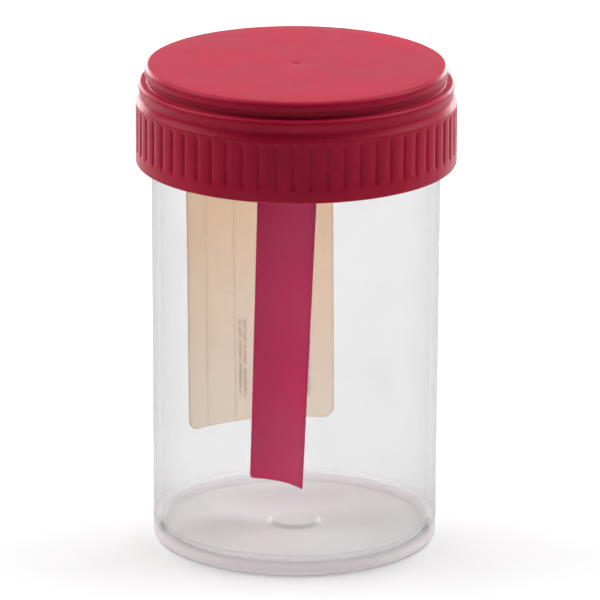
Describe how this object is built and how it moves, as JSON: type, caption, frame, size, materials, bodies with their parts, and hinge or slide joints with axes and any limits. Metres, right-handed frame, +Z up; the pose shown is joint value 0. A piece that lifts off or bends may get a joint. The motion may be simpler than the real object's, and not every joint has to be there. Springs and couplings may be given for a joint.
{
  "type": "screw-capped specimen container with spoon",
  "caption": "Translucent plastic specimen container with a ribbed red screw cap, a gutter-shaped spoon fixed under the cap and a paper label on its back.",
  "frame": {"origin": "centre of the foot, in the plane that the container stands on", "axes": "+Z up along the container's axis, -Y towards the side that the spoon's hollow faces, +Y towards the label, +X to the right when seen from the front"},
  "size_m": [0.0425, 0.0425, 0.065],
  "materials": {
    "vessel": "translucent natural polypropylene, smooth",
    "label": "cream paper, matt",
    "cap": "crimson polypropylene, satin",
    "seal_ring": "off-white soft foam",
    "spoon": "crimson polypropylene, smooth"
  },
  "bodies": {
    "container": {"vessel": "vessel", "label": "label"},
    "seal": {"seal_ring": "seal_ring"},
    "lid": {"cap": "cap", "spoon": "spoon"}
  },
  "joints": [
    {"name": "cap_lift", "type": "slide", "parent": "container", "child": "seal", "axis": [0, 0, 1], "range_m": [0, 0.056]},
    {"name": "cap_turn", "type": "hinge", "parent": "seal", "child": "lid", "pos_m": [0, 0, 0.0628], "axis": [0, 0, 1], "range_deg": [0, 5040]}
  ],
  "couplings": [
    {"joint": "cap_lift", "follows": "cap_turn", "m_per_rad": 0.00063662}
  ]
}
